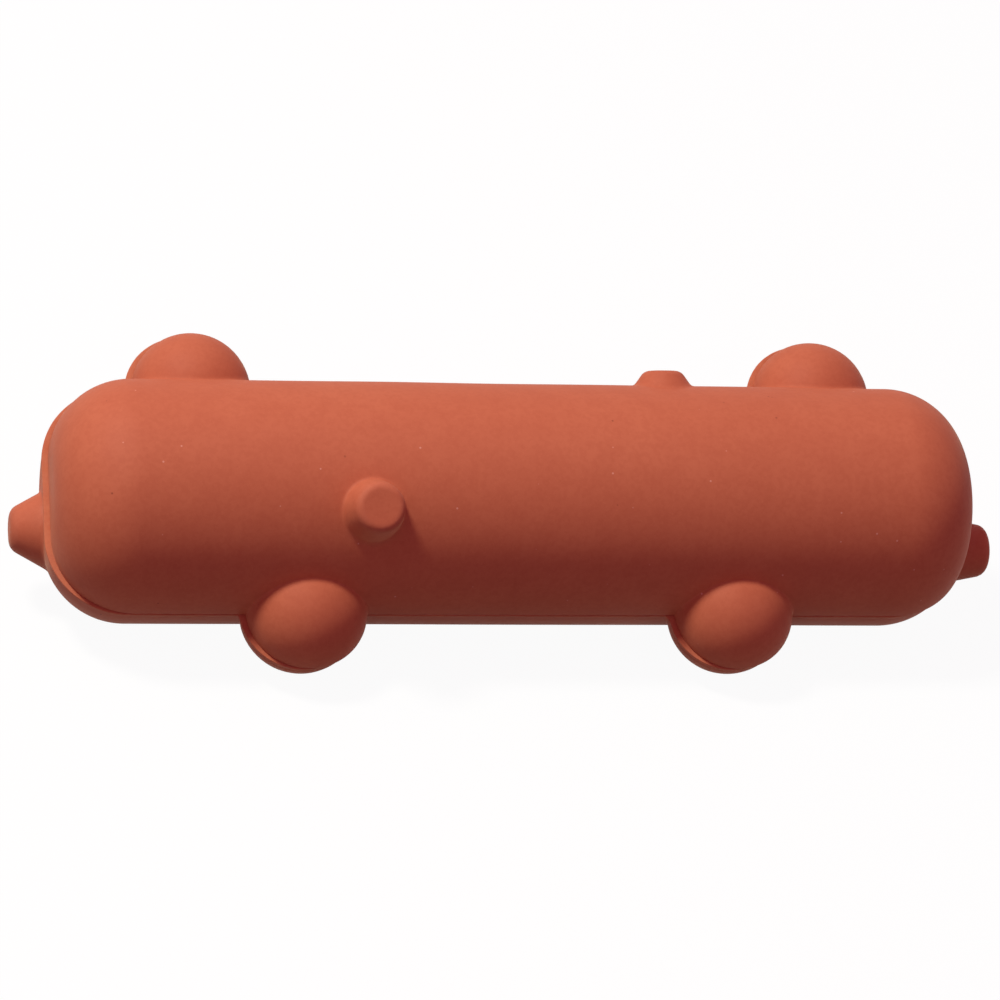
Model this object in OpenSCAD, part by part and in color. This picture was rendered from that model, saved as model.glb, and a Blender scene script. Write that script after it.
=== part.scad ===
// Hollow rubber chew toy: a round bar with rounded ends, four domes and five small studs.
// Two moulded halves are bonded along a seam that runs through all four domes, and a
// pressed-in squeaker sits in the lower half. The toy lies on its body, its two lower
// domes and its rear stud. X runs along the bar, +Z is up and z = 0 is the table.

/* [Body] */
// Diameter of the bar along its straight length
body_d = 40; // [36:0.5:46]
// Length of the bar between its two flat end faces
body_l = 154; // [146:0.5:180]
// Radius of the rounded edge at each end
end_corner_r = 13.3; // [11:0.1:15]
// Thickness of the rubber round the hollow
wall = 5; // [4.5:0.1:6]
// Thickness of the rubber at the two ends of the hollow
end_wall = 6.5; // [5:0.1:9]

/* [Domes] */
// Radius of the ball that each dome is part of
dome_r = 10; // [9.5:0.1:11]
// Height of each dome above the bar
dome_rise = 9.4; // [8:0.1:10]
// Distance of the two lower domes from the middle of the bar
lower_dome_x = 35.8; // [33:0.1:50]
// Distance of the two upper domes from the middle of the bar
upper_dome_x = 53; // [46:0.1:56]

/* [Studs] */
// Diameter of the front and the rear stud where they leave the rubber
stud_base_d = 10; // [9.5:0.1:11]
// Height of the front and the rear stud
stud_h = 5.4; // [4.5:0.1:6]
// Angle by which the side of those two studs narrows
stud_draft = 11; // [8:1:16]
// Radius of the rounded edge round the tips of those two studs
stud_round = 1.3; // [0.8:0.1:1.6]
// Diameter of the low stud where it leaves the rubber
low_stud_base_d = 9.6; // [9:0.1:10.6]
// Height of the low stud near the upper domes
low_stud_h = 2.5; // [2:0.1:3]
// Angle by which the side of the low stud narrows
low_stud_draft = 35; // [25:1:38]
// Radius of the rounded edge round the low stud's tip
low_stud_round = 1.8; // [1.2:0.1:2]
// Diameter of the left end's stud where it leaves the rubber
left_stud_base_d = 12.2; // [11:0.1:12.6]
// Height of the left end's stud
left_stud_h = 5.1; // [4.5:0.1:5.8]
// Angle by which the side of the left end's stud narrows
left_stud_draft = 29; // [22:1:31]
// Radius of the rounded edge round the tip of the left end's stud
left_stud_round = 2.3; // [1.4:0.1:2.6]
// Diameter of the right end's stud where it leaves the rubber
right_stud_base_d = 11; // [10:0.1:12]
// Height of the right end's stud
right_stud_h = 7; // [5.4:0.1:7.4]
// Angle by which the side of the right end's stud narrows
right_stud_draft = 10.5; // [8:0.5:16]
// Radius of the rounded edge round the tip of the right end's stud
right_stud_round = 2; // [1.2:0.1:2.4]
// Distance of the front and the rear stud from the middle of the bar
stud_x = 26.3; // [25:0.1:29]
// Distance of the low stud from the middle of the bar
low_stud_x = 26; // [25:0.1:29]
// Angle of the front stud from the middle of the upper half
front_stud_angle = 26; // [20:0.2:32]
// Angle by which the front stud leans back towards the middle of the upper half
front_stud_lean = 8; // [0:1:12]
// Angle by which the front stud leans along the bar
front_stud_yaw = 2.5; // [0:0.5:10]
// Angle of the low stud from the middle of the upper half, on the other side
low_stud_angle = 68; // [60:0.5:70]
// Distance of the left end's stud below the middle of the end face, along the seam
left_stud_drop = 2.4; // [2:0.1:4]
// Distance of the right end's stud below the middle of the end face, along the seam
right_stud_drop = 5.4; // [4:0.1:6.4]

/* [Seam] */
// Thickness of the bond between the two halves
bond_t = 0.8; // [0.5:0.1:1.2]
// Height of the seam's rim above the rubber
rim_h = 0.2; // [0.1:0.05:0.4]

/* [Squeaker] */
// Diameter of the squeaker's barrel
barrel_d = 13; // [12:0.1:14]
// Thickness of the barrel's wall
barrel_wall = 1.2; // [1:0.1:1.4]
// Length of the barrel behind its flange
barrel_l = 8; // [7.6:0.1:9]
// Diameter of the squeaker's flange
flange_d = 16; // [15.4:0.1:17]
// Thickness of the squeaker's flange
flange_t = 1.6; // [1.4:0.1:2]
// Depth of the flange's outer face below the top of the bar's curve
flange_sink = 2.2; // [2.1:0.1:2.8]
// Diameter of the hole that the sound leaves by
mouth_d = 4; // [3:0.1:4.4]
// Thickness of the rubber collar round the barrel
collar_wall = 3; // [2:0.1:3.5]
// Length of the collar inside the hollow
collar_l = 5.6; // [5:0.1:6]
// Gap round the squeaker's seated pieces
seat_gap = 0.05; // [0.04:0.01:0.1]

/* [Reed] */
// Thickness of the disc that carries the trough
disc_t = 1.2; // [1:0.1:1.4]
// Outer diameter of the half-round trough
trough_d = 4.8; // [4.6:0.1:5.2]
// Thickness of the trough's wall
trough_wall = 0.8; // [0.6:0.05:0.9]
// Length of the trough behind its disc
trough_l = 5.2; // [4.8:0.1:5.4]
// Thickness of the reed
reed_t = 0.25; // [0.2:0.01:0.3]
// Width of the reed
reed_w = 4.2; // [4:0.1:4.4]
// Length of the reed's free tongue
reed_l = 4.6; // [4.2:0.1:4.8]
// Length of the reed's root, held in the clamp
reed_root = 1.2; // [1:0.1:1.3]
// Gap on each side of the reed where it is held
reed_gap = 0.1; // [0.09:0.01:0.12]
// Angle at which the reed's tongue stands off the trough
reed_open = 4; // [3.5:0.5:5]
// Thickness of the squeaker's inner cap
cap_t = 0.8; // [0.6:0.1:1]
// Diameter of each air hole in the inner cap
air_hole_d = 1.8; // [1.4:0.1:2]
// Number of air holes in the inner cap
air_holes = 4; // [3:1:5]

/* [Hidden] */

// Roundness of the large and of the small curves
$fn = 96;
// Length by which a cut runs past what it cuts
over = 1;
// Depth at which a stud's side ends inside its rounded edge, so that the two cross cleanly
hair = 0.005;

body_r = body_d / 2;
hollow_r = body_r - wall;
hollow_l = body_l - 2 * end_wall;
hollow_corner_r = end_corner_r - wall;

// Distance from the bar's axis to the middle of a dome's ball
dome_off = body_r + dome_rise - dome_r;
// Angle between straight down and the lower domes, at which the bar and the domes all
// touch the table
lay_angle = acos((body_r - dome_r) / dome_off);

// Form of each stud: its radius where it leaves the rubber, its height, the angle by which
// its side narrows and the radius of its tip's edge
side_form = [stud_base_d / 2, stud_h, stud_draft, stud_round];
low_form = [low_stud_base_d / 2, low_stud_h, low_stud_draft, low_stud_round];
left_form = [left_stud_base_d / 2, left_stud_h, left_stud_draft, left_stud_round];
right_form = [right_stud_base_d / 2, right_stud_h, right_stud_draft, right_stud_round];

// Distance from the middle of the bar to the middle of the whole toy, along X
middle_x = (right_stud_h - left_stud_h) / 2;
// How deep a stud's root reaches into the rubber of the bar's side and of its ends
side_root = wall / 2;
end_root = end_wall / 2;

// Radius of the flat tip of a stud
function tip_r(form) = form[0] - form[3] * cos(form[2])
    - (form[1] - form[3] + form[3] * sin(form[2])) * tan(form[2]);

// Angle of the rear stud below the horizontal, at which its tip touches the table
rear_reach = body_r + stud_h - stud_round;
rear_tip_r = tip_r(side_form);
rear_stud_angle = asin((body_r - stud_round) / norm([rear_reach, rear_tip_r]))
    - atan2(rear_tip_r, rear_reach);

// Places along the squeaker's axis, from the bar's axis outwards
flange_top = body_r - flange_sink;
flange_seat = flange_top - flange_t;
barrel_end = flange_seat - barrel_l;
collar_end = flange_seat - collar_l;
barrel_r = barrel_d / 2;
barrel_in_r = barrel_r - barrel_wall;
// Thickness of the floor that the sound hole goes through
mouth_floor = flange_t * 3 / 4;
disc_top = flange_top - mouth_floor;
disc_seat = disc_top - disc_t;
trough_end = disc_seat - trough_l;
trough_r = trough_d / 2;
channel_r = trough_r - trough_wall;
// Height of the clamp's slot above the trough's flat face
slot_h = reed_t + 2 * reed_gap;
// Place of the line that the reed bends about, just inside the clamp's mouth
reed_line = disc_seat - reed_gap;
clamp_end = reed_line - 2 * reed_gap;

// Lays the mould's own frame on the table: its Z runs along the seam, through the
// domes, and its Y runs across the seam, from the upper half to the lower half
module lie_down() {
    translate([-middle_x, 0, body_r])
        rotate([-lay_angle, 0, 0])
            children();
}

// Turns a shape that points up into one that points at an angle round the bar, where 0
// is the middle of the upper half and 90 is the upper domes' side
module round_bar(angle, x) {
    translate([x, 0, 0])
        rotate([90 - angle, 0, 0])
            children();
}

// Points a shape from the bar's axis to the middle of the lower half
module squeaker_axis() {
    lie_down()
        rotate([-90, 0, 0])
            children();
}

// Bar along X with rounded edges at both ends
module rounded_bar(r, l, corner_r) {
    rotate([0, 90, 0])
        rotate_extrude()
            union() {
                translate([0, corner_r - l / 2])
                    square([r, l - 2 * corner_r]);
                translate([0, -l / 2])
                    square([r - corner_r, l]);
                for (end = [-1, 1])
                    intersection() {
                        translate([r - corner_r, end * (l / 2 - corner_r)])
                            circle(corner_r);
                        translate([r - corner_r, end * l / 2 - l / 4])
                            square([corner_r, l / 2]);
                    }
            }
}

// Stud of a form that stands on z = 0, with a flat tip and a root below
module stud(form, root) {
    h = form[1];
    draft = form[2];
    edge_r = form[3];
    tip = tip_r(form);
    shoulder = h - edge_r;
    side_end = edge_r - hair;
    rotate_extrude()
        union() {
            polygon([
                [0, -root],
                [form[0] + root * tan(draft), -root],
                [tip + side_end * cos(draft), shoulder + side_end * sin(draft)],
                [tip, shoulder],
                [tip, h],
                [0, h]
            ]);
            intersection() {
                translate([tip, shoulder])
                    circle(edge_r);
                translate([tip, shoulder])
                    square(edge_r);
            }
        }
}

module domes() {
    for (side = [-1, 1]) {
        translate([side * lower_dome_x, 0, -dome_off])
            sphere(dome_r);
        translate([side * upper_dome_x, 0, dome_off])
            sphere(dome_r);
    }
}

module low_stud() {
    round_bar(low_stud_angle, low_stud_x)
        translate([0, 0, body_r])
            stud(low_form, side_root);
}

module front_stud() {
    round_bar(-front_stud_angle, -stud_x)
        translate([0, 0, body_r])
            rotate([-front_stud_lean, front_stud_yaw, 0])
                stud(side_form, side_root);
}

module rear_stud() {
    round_bar(180 + rear_stud_angle - lay_angle, stud_x)
        translate([0, 0, body_r])
            stud(side_form, side_root);
}

// Stud on an end face, just past the seam, so that it is wholly on the lower half
module end_stud(end, drop, form) {
    translate([end * body_l / 2, form[0] + bond_t / 2, -drop])
        rotate([0, end * 90, 0])
            stud(form, end_root);
}

module hollow() {
    rounded_bar(hollow_r, hollow_l, hollow_corner_r);
}

// Space on one side of the seam, past the bond: side -1 is the upper half's
module half_space(side) {
    reach = body_l + 2 * max(left_stud_h, right_stud_h) + 2 * over;
    depth = body_d + 2 * dome_rise + 2 * over;
    translate([-reach / 2, side > 0 ? bond_t / 2 : -depth - bond_t / 2, -depth])
        cube([reach, depth, 2 * depth]);
}

module upper_shell() {
    color("indianred")
        lie_down()
            difference() {
                intersection() {
                    union() {
                        rounded_bar(body_r, body_l, end_corner_r);
                        domes();
                        low_stud();
                        front_stud();
                    }
                    half_space(-1);
                }
                hollow();
            }
}

module lower_shell() {
    color("indianred") {
        difference() {
            union() {
                lie_down()
                    difference() {
                        intersection() {
                            union() {
                                rounded_bar(body_r, body_l, end_corner_r);
                                domes();
                                rear_stud();
                                end_stud(-1, left_stud_drop, left_form);
                                end_stud(1, right_stud_drop, right_form);
                            }
                            half_space(1);
                        }
                        hollow();
                    }
                // Collar inside the hollow that grips the squeaker's barrel
                squeaker_axis()
                    translate([0, 0, collar_end])
                        cylinder(r = barrel_r + collar_wall, h = collar_l);
            }
            squeaker_axis() {
                translate([0, 0, collar_end - over])
                    cylinder(r = barrel_r, h = collar_l + 2 * over);
                translate([0, 0, flange_seat])
                    cylinder(d = flange_d + 2 * seat_gap, h = body_r);
            }
        }
    }
}

// Outline of the toy where the seam cuts it, grown by a margin
module seam_outline(margin) {
    flat_l = body_l - 2 * end_corner_r;
    flat_r = body_r - end_corner_r;
    square([body_l + 2 * margin, 2 * flat_r], center = true);
    square([flat_l, body_d + 2 * margin], center = true);
    for (end = [-1, 1])
        for (side = [-1, 1])
            translate([end * flat_l / 2, side * flat_r])
                circle(end_corner_r + margin);
    for (side = [-1, 1]) {
        translate([side * lower_dome_x, -dome_off])
            circle(dome_r + margin);
        translate([side * upper_dome_x, dome_off])
            circle(dome_r + margin);
    }
}

module hollow_outline() {
    flat_l = hollow_l - 2 * hollow_corner_r;
    flat_r = hollow_r - hollow_corner_r;
    square([hollow_l, 2 * flat_r], center = true);
    square([flat_l, 2 * hollow_r], center = true);
    for (end = [-1, 1])
        for (side = [-1, 1])
            translate([end * flat_l / 2, side * flat_r])
                circle(hollow_corner_r);
}

module seam_bond() {
    color("chocolate")
        lie_down()
            rotate([90, 0, 0])
                translate([0, 0, -bond_t / 2])
                    linear_extrude(bond_t)
                        difference() {
                            seam_outline(rim_h);
                            hollow_outline();
                        }
}

module squeaker_housing() {
    color("ivory")
        squeaker_axis()
            difference() {
                union() {
                    translate([0, 0, flange_seat])
                        cylinder(d = flange_d, h = flange_t);
                    translate([0, 0, barrel_end])
                        cylinder(r = barrel_r - seat_gap, h = barrel_l);
                }
                translate([0, 0, barrel_end - over])
                    cylinder(r = barrel_in_r, h = disc_top - barrel_end + over);
                cylinder(d = mouth_d, h = body_r);
            }
}

module squeaker_cap() {
    color("ivory")
        squeaker_axis()
            translate([0, 0, barrel_end])
                difference() {
                    cylinder(r = barrel_in_r - seat_gap, h = cap_t);
                    for (i = [0 : air_holes - 1])
                        rotate(i * 360 / air_holes)
                            translate([barrel_in_r / 2, 0, -over])
                                cylinder(d = air_hole_d, h = cap_t + 2 * over);
                }
}

// Disc with a half-round trough behind it. The reed lies over the trough's flat face,
// and the wedge fills the other half of the disc's hole.
module reed_trough() {
    color("gainsboro")
        squeaker_axis()
            difference() {
                union() {
                    translate([0, 0, disc_seat])
                        cylinder(r = barrel_in_r - seat_gap, h = disc_t);
                    intersection() {
                        translate([0, 0, trough_end])
                            cylinder(r = trough_r, h = trough_l + disc_t / 2);
                        translate([-trough_r, -trough_r, trough_end])
                            cube([trough_d, trough_r, trough_l + disc_t]);
                    }
                }
                translate([0, 0, trough_end + trough_wall])
                    cylinder(r = channel_r, h = trough_l + disc_t);
                intersection() {
                    translate([0, 0, disc_seat - over])
                        cylinder(r = trough_r, h = disc_t + 2 * over);
                    translate([-trough_r, 0, disc_seat - over])
                        cube([trough_d, trough_r, disc_t + 2 * over]);
                }
            }
}

module reed_wedge() {
    color("gainsboro")
        squeaker_axis()
            intersection() {
                translate([0, 0, clamp_end])
                    cylinder(r = trough_r - seat_gap, h = disc_top - clamp_end);
                translate([-trough_r, slot_h, clamp_end])
                    cube([trough_d, trough_r, disc_top - clamp_end]);
            }
}

// Thin tongue: its root lies in the clamp's slot, and it stands off the trough
module reed() {
    tongue_x = reed_l * cos(reed_open);
    tongue_y = reed_l * sin(reed_open);
    color("silver")
        squeaker_axis()
            translate([reed_w / 2, reed_gap, reed_line])
                rotate([0, -90, 0])
                    linear_extrude(reed_w)
                        polygon([
                            [reed_root, 0],
                            [reed_root, reed_t],
                            [0, reed_t],
                            [-tongue_x, tongue_y + reed_t],
                            [-tongue_x, tongue_y],
                            [0, 0]
                        ]);
}

upper_shell();
lower_shell();
seam_bond();
squeaker_housing();
squeaker_cap();
reed_trough();
reed_wedge();
reed();
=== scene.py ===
"""Looks of a hollow rubber chew toy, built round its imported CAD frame.

The toy is a round bar with four domes and five short studs, moulded in two halves that are
bonded along a low seam, with a squeaker pressed into the lower half. Both halves are
skins round one signed distance, so every dome and stud meets the bar in a real fillet.
The mould's halves didn't quite meet, so each is slipped a little along the bar, its own way.
Lengths are in metres. The mould's own frame has X along the bar and its seam on Y = 0,
and Mould.lie_down lays it on the table.
"""

import logging
import math
from dataclasses import dataclass, field
from enum import Enum
from typing import Any, Callable, Iterable, Sequence

import bmesh
import bpy
import numpy as np
from mathutils import Matrix, Vector

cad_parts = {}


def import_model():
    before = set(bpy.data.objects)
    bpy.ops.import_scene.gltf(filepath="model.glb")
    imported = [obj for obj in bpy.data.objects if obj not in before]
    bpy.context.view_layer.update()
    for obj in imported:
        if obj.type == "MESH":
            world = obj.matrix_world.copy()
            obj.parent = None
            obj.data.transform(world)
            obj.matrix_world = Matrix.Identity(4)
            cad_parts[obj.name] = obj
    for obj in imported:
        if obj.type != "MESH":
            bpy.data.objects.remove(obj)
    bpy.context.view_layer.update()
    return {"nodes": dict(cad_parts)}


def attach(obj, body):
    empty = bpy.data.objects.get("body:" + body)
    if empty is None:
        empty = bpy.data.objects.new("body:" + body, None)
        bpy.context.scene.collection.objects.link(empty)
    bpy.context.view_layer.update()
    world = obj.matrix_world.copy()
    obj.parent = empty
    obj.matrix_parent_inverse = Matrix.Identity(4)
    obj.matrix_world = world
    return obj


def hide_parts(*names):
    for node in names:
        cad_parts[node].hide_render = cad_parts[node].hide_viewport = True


MM = 0.001
LOG = logging.getLogger("chew_toy")
MERGE_GAP = 0.0005 * MM
GRADING_SAMPLES = 4001
GATHER_SAMPLES = 600
TINY = 1e-9
WHITE = (1, 1, 1, 1)
Colour = tuple[int, int, int]
Sdf = Callable[[np.ndarray], np.ndarray]


class Half(Enum):
    """The two moulded halves, by the side of the seam they lie on."""

    UPPER = -1
    LOWER = 1


# Sizes of the toy


@dataclass(frozen=True)
class BarSizes:
    """Sizes of the bar, its hollow and its domes.

    Attributes:
        radius: Radius of the bar.
        length: Length of the bar without its studs.
        corner: Radius of its rounded ends.
        wall: Thickness of the rubber round the hollow.
        end_wall: Thickness of the rubber at the hollow's ends.
        dome_radius: Radius of a dome's ball.
        dome_rise: How far a dome stands out from the bar.
        lower_dome_x: Distance of the lower domes from the middle of the bar.
        upper_dome_x: Distance of the upper domes from it.
        dome_fillet: Radius of the fillet where a dome meets the bar.
    """

    radius: float = 20 * MM
    length: float = 154 * MM
    corner: float = 13.3 * MM
    wall: float = 5 * MM
    end_wall: float = 6.5 * MM
    dome_radius: float = 10 * MM
    dome_rise: float = 9.4 * MM
    lower_dome_x: float = 35.8 * MM
    upper_dome_x: float = 53 * MM
    dome_fillet: float = 0.28 * MM

    @property
    def dome_offset(self) -> float:
        """Distance from the bar's axis to the middle of a dome's ball."""
        return self.radius + self.dome_rise - self.dome_radius

    @property
    def lay_angle(self) -> float:
        """Angle between straight down and the lower domes, where bar and domes rest."""
        return math.acos((self.radius - self.dome_radius) / self.dome_offset)


@dataclass(frozen=True)
class StudForm:
    """Form of a stud, which narrows to a flat tip with a rounded edge.

    Attributes:
        base_radius: Radius where it leaves the rubber.
        height: Height of its tip.
        draft: Angle by which its side narrows.
        edge: Radius of the rounded edge.
    """

    base_radius: float
    height: float
    draft: float
    edge: float

    @property
    def tip_radius(self) -> float:
        """Radius of the flat tip."""
        rise = self.height - self.edge * (1 - math.sin(self.draft))
        return self.base_radius - self.edge * math.cos(self.draft) - rise * math.tan(self.draft)


@dataclass(frozen=True)
class StudSizes:
    """Forms and places of the five studs.

    Attributes:
        side: Form of the front and the rear stud.
        low: Form of the low stud near the upper edge.
        ends: Forms of the left and the right end stud.
        end_drops: Distances of the end studs from the middles of the ends, towards the lower domes.
        root: How deep a stud reaches into the rubber.
        fillet: Radius of the fillet where a stud meets the bar.
        along: Distance of the front and the rear stud from the middle of the bar.
        front_angle: Angle of the front stud round the bar.
        front_lean: How far the front stud leans round the bar.
        front_yaw: How far it leans along the bar.
        low_along: Distance of the low stud from the middle of the bar.
        low_angle: Its angle round the bar.
    """

    side: StudForm = StudForm(5 * MM, 5.4 * MM, math.radians(11), 1.3 * MM)
    low: StudForm = StudForm(4.8 * MM, 2.5 * MM, math.radians(35), 1.8 * MM)
    ends: tuple[StudForm, StudForm] = (
        StudForm(6.1 * MM, 5.1 * MM, math.radians(29), 2.3 * MM),
        StudForm(5.5 * MM, 7 * MM, math.radians(10.5), 2 * MM),
    )
    end_drops: tuple[float, float] = (2.4 * MM, 5.4 * MM)
    root: float = 3.2 * MM
    fillet: float = 0.4 * MM
    along: float = 26.3 * MM
    front_angle: float = math.radians(-26)
    front_lean: float = math.radians(-8)
    front_yaw: float = math.radians(2.5)
    low_along: float = 26 * MM
    low_angle: float = math.radians(68)

    @property
    def middle_x(self) -> float:
        """Distance from the middle of the bar to the middle of the whole toy."""
        return (self.ends[1].height - self.ends[0].height) / 2


@dataclass(frozen=True)
class SeamSizes:
    """Sizes of the bond between the halves and of its rim.

    Attributes:
        thickness: Thickness of the bond.
        rim_height: How far its rim stands proud.
        rim_depth: How far the rim reaches into the seam.
        rim_edge: Radius of the rim's rounded edges.
        waver: How much the rim's height varies.
        waver_pitch: Usual length of a variation.
        edge_rounds: Radii of the upper and the lower half's edges at the seam.
        cover: How deep under the outside the flat bond stops.
        mismatch: How far each half is slipped along the bar.
    """

    thickness: float = 0.8 * MM
    rim_height: float = 0.08 * MM
    rim_depth: float = 1.4 * MM
    rim_edge: float = 0.14 * MM
    waver: float = 0.1 * MM
    waver_pitch: float = 5 * MM
    edge_rounds: tuple[float, float] = (0.3 * MM, 0.1 * MM)
    cover: float = 0.8 * MM
    mismatch: float = 0.45 * MM

    def edge_round(self, half: Half) -> float:
        """Radius of a half's edge at the seam. The rim stays on the lower half, which is crisper."""
        return self.edge_rounds[0 if half is Half.UPPER else 1]


@dataclass(frozen=True)
class SqueakerSizes:
    """Sizes of the squeaker, with places measured along its axis from the bar's axis.

    Attributes:
        barrel_radius: Radius of the bore that holds the barrel.
        barrel_wall: Thickness of the barrel's wall and its gap together.
        barrel_end: Place of the barrel's inner end.
        collar_radius: Radius of the rubber collar round it.
        collar_end: Place of the collar's inner end.
        flange_radius: Radius of the flange.
        flange_seat: Place of the flange's inner face.
        flange_top: Place of its outer face.
        floor: Place of the inner face round the sound hole.
        mouth_radius: Radius of the sound hole.
        gap: Clearance between the plastic and the rubber.
        edge_round: Radius of the rounded edges of the barrel and the flange.
        mouth_round: Radius of the sound hole's rounded edge.
        groove: Radius of the round groove in the flange's outer face.
        groove_radius: Distance of the groove from the axis.
    """

    barrel_radius: float = 6.5 * MM
    barrel_wall: float = 1.2 * MM
    barrel_end: float = 8.2 * MM
    collar_radius: float = 9.5 * MM
    collar_end: float = 10.6 * MM
    flange_radius: float = 8 * MM
    flange_seat: float = 16.2 * MM
    flange_top: float = 17.8 * MM
    floor: float = 16.6 * MM
    mouth_radius: float = 2 * MM
    gap: float = 0.05 * MM
    edge_round: float = 0.4 * MM
    mouth_round: float = 0.3 * MM
    groove: float = 0.22 * MM
    groove_radius: float = 4.6 * MM


@dataclass(frozen=True)
class Swell:
    """Slow uneven swell of the hand-trimmed rubber: long waves, and short ones half as high.

    Attributes:
        height: Height of the long waves.
        long_x: Length per radian of the long waves along X, and their lag.
        long_z: The same along Z.
        short_x: The same of the short waves along X.
        short_y: The same along Y.
    """

    height: float = 0.05 * MM
    long_x: tuple[float, float] = (9 * MM, 1.3)
    long_z: tuple[float, float] = (11 * MM, 0.4)
    short_x: tuple[float, float] = (5 * MM, -0.7)
    short_y: tuple[float, float] = (7 * MM, 2.1)

    def at(self, p: np.ndarray) -> np.ndarray:
        """Height of the swell at points of the mould's frame.

        Args:
            p: Array of n points.

        Returns:
            The n heights.
        """
        waves = ((0, self.long_x), (2, self.long_z), (0, self.short_x), (1, self.short_y))
        long_x, long_z, short_x, short_y = (p[:, axis] / length + lag for axis, (length, lag) in waves)
        return self.height * (np.sin(long_x) * np.cos(long_z) + np.sin(short_x) * np.sin(short_y) / 2)


# Places and turns


def turn_x(angle: float) -> np.ndarray:
    """Matrix that turns by an angle about X."""
    c, s = math.cos(angle), math.sin(angle)
    return np.array([[1, 0, 0], [0, c, -s], [0, s, c]])


def turn_y(angle: float) -> np.ndarray:
    """Matrix that turns by an angle about Y."""
    c, s = math.cos(angle), math.sin(angle)
    return np.array([[c, 0, s], [0, 1, 0], [-s, 0, c]])


@dataclass(frozen=True)
class Mould:
    """The mould's own frame, and how it lies on the table.

    Attributes:
        bar: Sizes of the bar.
        studs: Sizes of the studs.
    """

    bar: BarSizes = BarSizes()
    studs: StudSizes = StudSizes()

    @property
    def bar_middle(self) -> np.ndarray:
        """Middle of the bar as it lies on the table."""
        return np.array([-self.studs.middle_x, 0, self.bar.radius])

    def lie_down(self, points: np.ndarray) -> np.ndarray:
        """Points of the mould's frame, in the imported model's, where they lie on the table."""
        return points @ turn_x(-self.bar.lay_angle).T + self.bar_middle

    def stand_up(self, points: np.ndarray) -> np.ndarray:
        """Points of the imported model's frame, back in the mould's frame."""
        return (points - self.bar_middle) @ turn_x(-self.bar.lay_angle)

    def squeaker_place(self, points: np.ndarray) -> np.ndarray:
        """Points that have Z along the squeaker's axis, as they lie on the table."""
        return self.lie_down(points @ turn_x(-math.pi / 2).T)


# Signed distances, in the mould's frame


def rounded_bar(radius: float, half_length: float, corner: float) -> Sdf:
    """Distance to a bar along X with rounded edges at both ends.

    Args:
        radius: Radius of the bar.
        half_length: Distance from its middle to each end.
        corner: Radius of the rounded edges.

    Returns:
        The distance function.
    """

    def distance(p: np.ndarray) -> np.ndarray:
        """Distance from the bar.

        Args:
            p: Array of n points.

        Returns:
            The n distances.
        """
        along = np.abs(p[:, 0]) - (half_length - corner)
        across = np.hypot(p[:, 1], p[:, 2]) - (radius - corner)
        outside = np.hypot(np.maximum(along, 0), np.maximum(across, 0))
        return outside + np.minimum(np.maximum(along, across), 0) - corner

    return distance


def ball(centre: Sequence[float], radius: float) -> Sdf:
    """Distance to a ball."""
    middle = np.array(centre)
    return lambda p: np.linalg.norm(p - middle, axis=1) - radius


def stud(base: np.ndarray, axis: np.ndarray, form: StudForm, root: float) -> Sdf:
    """Distance to a stud.

    Args:
        base: Middle of the circle where the stud leaves the rubber.
        axis: Unit vector from the base to the tip.
        form: Form of the stud.
        root: How deep the stud reaches into the rubber.

    Returns:
        The distance function.
    """
    tip, shoulder = form.tip_radius, form.height - form.edge
    c, s = math.cos(form.draft), math.sin(form.draft)

    def distance(p: np.ndarray) -> np.ndarray:
        """Distance from the stud.

        Args:
            p: Array of n points.

        Returns:
            The n distances.
        """
        rise = (p - base) @ axis
        out = np.linalg.norm(p - base - rise[:, None] * axis, axis=1) - tip
        up = rise - shoulder
        past_corner = (out > 0) & (up * c - out * s > 0)
        wall = np.maximum(out * c + up * s, up)
        skin = np.where(past_corner, np.hypot(out, up), wall) - form.edge
        return np.maximum(skin, -rise - root)

    return distance


def fillet_union(a: np.ndarray, b: np.ndarray, radius: float) -> np.ndarray:
    """Distance to two shapes together, with a round fillet where they meet."""
    corner = np.hypot(np.maximum(radius - a, 0), np.maximum(radius - b, 0))
    return np.maximum(radius, np.minimum(a, b)) - corner


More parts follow.
